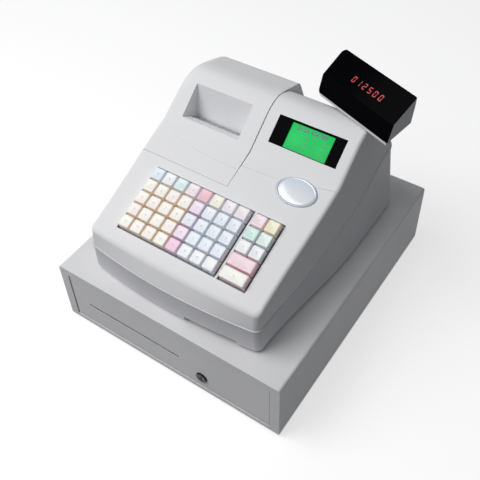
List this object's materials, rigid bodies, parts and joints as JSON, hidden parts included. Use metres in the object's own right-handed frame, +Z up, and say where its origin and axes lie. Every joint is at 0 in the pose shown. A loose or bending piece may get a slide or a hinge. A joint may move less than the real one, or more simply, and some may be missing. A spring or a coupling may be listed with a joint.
{
  "type": "ticket register",
  "caption": "Light grey ticket register with a sloping keyboard, printer cover, swivelling customer display and a cash drawer beneath.",
  "frame": {"origin": "centre of the drawer case's footprint, on the surface it stands on", "axes": "+X to the operator's right, +Y to the back, +Z up"},
  "size_m": [0.3616, 0.4122, 0.353],
  "materials": {
    "case_paint": "fine textured powder coat, light grey",
    "fascia_plastic": "fine textured, grey",
    "zinc_sheet": "zinc plated",
    "steel": "bright steel",
    "lock_chrome": "polished",
    "black_rubber": "matt",
    "till_plastic": "fine textured, black",
    "nylon": "natural nylon",
    "housing_plastic": "fine spark texture, light grey",
    "head_plastic": "fine spark texture, grey",
    "bed_plastic": "moulded, dark grey",
    "window_black": "polished smoked acrylic",
    "lcd_green": "back-lit green panel",
    "badge_face": "domed, pale blue-white with a grey rim",
    "brass": "machined",
    "paper": "smooth thermal paper",
    "spindle_plastic": "moulded",
    "board": "green solder mask",
    "inlet_plastic": "moulded, black",
    "key_cream": "cream caps with an orange skirt",
    "key_mixed": "pale mixed colours",
    "key_lilac": "lilac and pink caps",
    "key_ice": "bluish white caps with a blue-grey skirt",
    "key_side_pink": "pale pink",
    "key_side_yellow": "pale yellow",
    "key_side_mint": "pale mint",
    "key_side_white": "white",
    "key_side_cream": "cream"
  },
  "bodies": {
    "base": {"drawer_case": "case_paint", "drawer_base": "case_paint", "drawer_feet": "black_rubber", "case_rails": "zinc_sheet", "latch_unit": "steel", "lower_housing": "housing_plastic", "upper_housing": "housing_plastic", "register_feet": "black_rubber", "housing_screws": "steel", "key_bed": "bed_plastic", "key_mat": "black_rubber", "display_window": "window_black", "lcd_module": "lcd_green", "oval_badge": "badge_face", "printer_frame": "zinc_sheet", "feed_motor": "steel", "main_board": "board", "power_transformer": "steel", "mains_inlet": "inlet_plastic", "socket_panel": "inlet_plastic", "head_socket": "housing_plastic"},
    "drawer": {"drawer_box": "zinc_sheet", "drawer_front": "fascia_plastic", "drawer_glides": "nylon", "till_tray": "till_plastic", "coin_tray": "till_plastic", "clip_rod": "steel", "lock_body": "lock_chrome"},
    "hook": {"latch_hook": "zinc_sheet"},
    "clip_1": {"note_clip_1": "till_plastic"},
    "clip_2": {"note_clip_2": "till_plastic"},
    "clip_3": {"note_clip_3": "till_plastic"},
    "clip_4": {"note_clip_4": "till_plastic"},
    "lock": {"lock_barrel": "lock_chrome"},
    "rocker": {"power_switch": "inlet_plastic"},
    "pinion": {"feed_pinion": "brass"},
    "platen": {"platen_roller": "black_rubber", "platen_gear": "nylon"},
    "roll": {"paper_roll": "paper", "roll_spindle": "spindle_plastic"},
    "cover": {"printer_cover": "housing_plastic", "tear_bar": "steel"},
    "head": {"head_shell": "head_plastic", "head_lens": "window_black", "digit_board": "board"},
    "press_function_keys": {"function_keys": "key_mixed"},
    "press_department_keys": {"department_keys": "key_cream"},
    "press_clerk_keys": {"clerk_keys": "key_lilac"},
    "press_number_keys_1": {"number_keys_1": "key_ice"},
    "press_number_keys_2": {"number_keys_2": "key_ice"},
    "press_number_keys_3": {"number_keys_3": "key_ice"},
    "press_number_keys_4": {"number_keys_4": "key_ice"},
    "press_side_key_1": {"side_key_1": "key_side_pink"},
    "press_side_key_2": {"side_key_2": "key_side_yellow"},
    "press_side_key_3": {"side_key_3": "key_side_mint"},
    "press_side_key_4": {"side_key_4": "key_side_mint"},
    "press_side_key_5": {"side_key_5": "key_side_white"},
    "press_side_key_6": {"side_key_6": "key_side_white"},
    "press_wide_key_1": {"wide_key_1": "key_side_pink"},
    "press_wide_key_2": {"wide_key_2": "key_side_cream"}
  },
  "joints": [
    {"name": "drawer_slide", "type": "slide", "parent": "base", "child": "drawer", "axis": [0, -1, 0], "range_m": [0, 0.255]},
    {"name": "hook_pivot", "type": "hinge", "parent": "base", "child": "hook", "pos_m": [0, 0.1665, 0.0455], "axis": [1, 0, 0], "range_deg": [0, 14]},
    {"name": "clip_1_hinge", "type": "hinge", "parent": "drawer", "child": "clip_1", "pos_m": [-0.11797, 0.1393, 0.0567], "axis": [-1, 0, 0], "range_deg": [0, 58], "stiffness_Nm_per_rad": 0.02, "springref_deg": -17.19},
    {"name": "clip_2_hinge", "type": "hinge", "parent": "drawer", "child": "clip_2", "pos_m": [-0.03932, 0.1393, 0.0567], "axis": [-1, 0, 0], "range_deg": [0, 58], "stiffness_Nm_per_rad": 0.02, "springref_deg": -17.19},
    {"name": "clip_3_hinge", "type": "hinge", "parent": "drawer", "child": "clip_3", "pos_m": [0.03932, 0.1393, 0.0567], "axis": [-1, 0, 0], "range_deg": [0, 58], "stiffness_Nm_per_rad": 0.02, "springref_deg": -17.19},
    {"name": "clip_4_hinge", "type": "hinge", "parent": "drawer", "child": "clip_4", "pos_m": [0.11797, 0.1393, 0.0567], "axis": [-1, 0, 0], "range_deg": [0, 58], "stiffness_Nm_per_rad": 0.02, "springref_deg": -17.19},
    {"name": "lock_turn", "type": "hinge", "parent": "drawer", "child": "lock", "pos_m": [0.059, -0.2, 0.033], "axis": [0, 1, 0], "range_deg": [0, 90]},
    {"name": "rocker_pivot", "type": "hinge", "parent": "base", "child": "rocker", "pos_m": [0.082, 0.1586, 0.143], "axis": [1, 0, 0], "range_deg": [-16, 0]},
    {"name": "platen_spin", "type": "hinge", "parent": "base", "child": "platen", "pos_m": [-0.0665, 0.032, 0.217], "axis": [1, 0, 0], "continuous": true},
    {"name": "pinion_spin", "type": "hinge", "parent": "base", "child": "pinion", "pos_m": [-0.018, 0.02069, 0.20569], "axis": [1, 0, 0], "continuous": true},
    {"name": "roll_spin", "type": "hinge", "parent": "base", "child": "roll", "pos_m": [-0.0665, 0.094, 0.226], "axis": [1, 0, 0], "continuous": true},
    {"name": "cover_hinge", "type": "hinge", "parent": "base", "child": "cover", "pos_m": [-0.06, 0.152, 0.227], "axis": [-1, 0, 0], "range_deg": [0, 75]},
    {"name": "head_swivel", "type": "hinge", "parent": "base", "child": "head", "pos_m": [0.117, 0.093, 0.302], "axis": [0, 0, 1], "range_deg": [-140, 180]},
    {"name": "function_keys_press", "type": "slide", "parent": "base", "child": "press_function_keys", "axis": [0, 0.3518, -0.9361], "range_m": [0, 0.003], "stiffness_N_per_m": 1200, "springref_m": -0.003},
    {"name": "department_keys_press", "type": "slide", "parent": "base", "child": "press_department_keys", "axis": [0, 0.3518, -0.9361], "range_m": [0, 0.003], "stiffness_N_per_m": 2400, "springref_m": -0.003},
    {"name": "clerk_keys_press", "type": "slide", "parent": "base", "child": "press_clerk_keys", "axis": [0, 0.3518, -0.9361], "range_m": [0, 0.003], "stiffness_N_per_m": 600, "springref_m": -0.003},
    {"name": "number_keys_1_press", "type": "slide", "parent": "base", "child": "press_number_keys_1", "axis": [0, 0.3518, -0.9361], "range_m": [0, 0.003], "stiffness_N_per_m": 450, "springref_m": -0.003},
    {"name": "number_keys_2_press", "type": "slide", "parent": "base", "child": "press_number_keys_2", "axis": [0, 0.3518, -0.9361], "range_m": [0, 0.003], "stiffness_N_per_m": 450, "springref_m": -0.003},
    {"name": "number_keys_3_press", "type": "slide", "parent": "base", "child": "press_number_keys_3", "axis": [0, 0.3518, -0.9361], "range_m": [0, 0.003], "stiffness_N_per_m": 450, "springref_m": -0.003},
    {"name": "number_keys_4_press", "type": "slide", "parent": "base", "child": "press_number_keys_4", "axis": [0, 0.3518, -0.9361], "range_m": [0, 0.003], "stiffness_N_per_m": 450, "springref_m": -0.003},
    {"name": "side_key_1_press", "type": "slide", "parent": "base", "child": "press_side_key_1", "axis": [0, 0.3518, -0.9361], "range_m": [0, 0.003], "stiffness_N_per_m": 150, "springref_m": -0.003},
    {"name": "side_key_2_press", "type": "slide", "parent": "base", "child": "press_side_key_2", "axis": [0, 0.3518, -0.9361], "range_m": [0, 0.003], "stiffness_N_per_m": 150, "springref_m": -0.003},
    {"name": "side_key_3_press", "type": "slide", "parent": "base", "child": "press_side_key_3", "axis": [0, 0.3518, -0.9361], "range_m": [0, 0.003], "stiffness_N_per_m": 150, "springref_m": -0.003},
    {"name": "side_key_4_press", "type": "slide", "parent": "base", "child": "press_side_key_4", "axis": [0, 0.3518, -0.9361], "range_m": [0, 0.003], "stiffness_N_per_m": 150, "springref_m": -0.003},
    {"name": "side_key_5_press", "type": "slide", "parent": "base", "child": "press_side_key_5", "axis": [0, 0.3518, -0.9361], "range_m": [0, 0.003], "stiffness_N_per_m": 150, "springref_m": -0.003},
    {"name": "side_key_6_press", "type": "slide", "parent": "base", "child": "press_side_key_6", "axis": [0, 0.3518, -0.9361], "range_m": [0, 0.003], "stiffness_N_per_m": 150, "springref_m": -0.003},
    {"name": "wide_key_1_press", "type": "slide", "parent": "base", "child": "press_wide_key_1", "axis": [0, 0.3518, -0.9361], "range_m": [0, 0.003], "stiffness_N_per_m": 240, "springref_m": -0.003},
    {"name": "wide_key_2_press", "type": "slide", "parent": "base", "child": "press_wide_key_2", "axis": [0, 0.3518, -0.9361], "range_m": [0, 0.003], "stiffness_N_per_m": 240, "springref_m": -0.003}
  ],
  "couplings": [
    {"joint": "pinion_spin", "follows": "platen_spin", "ratio": -2.3333}
  ]
}
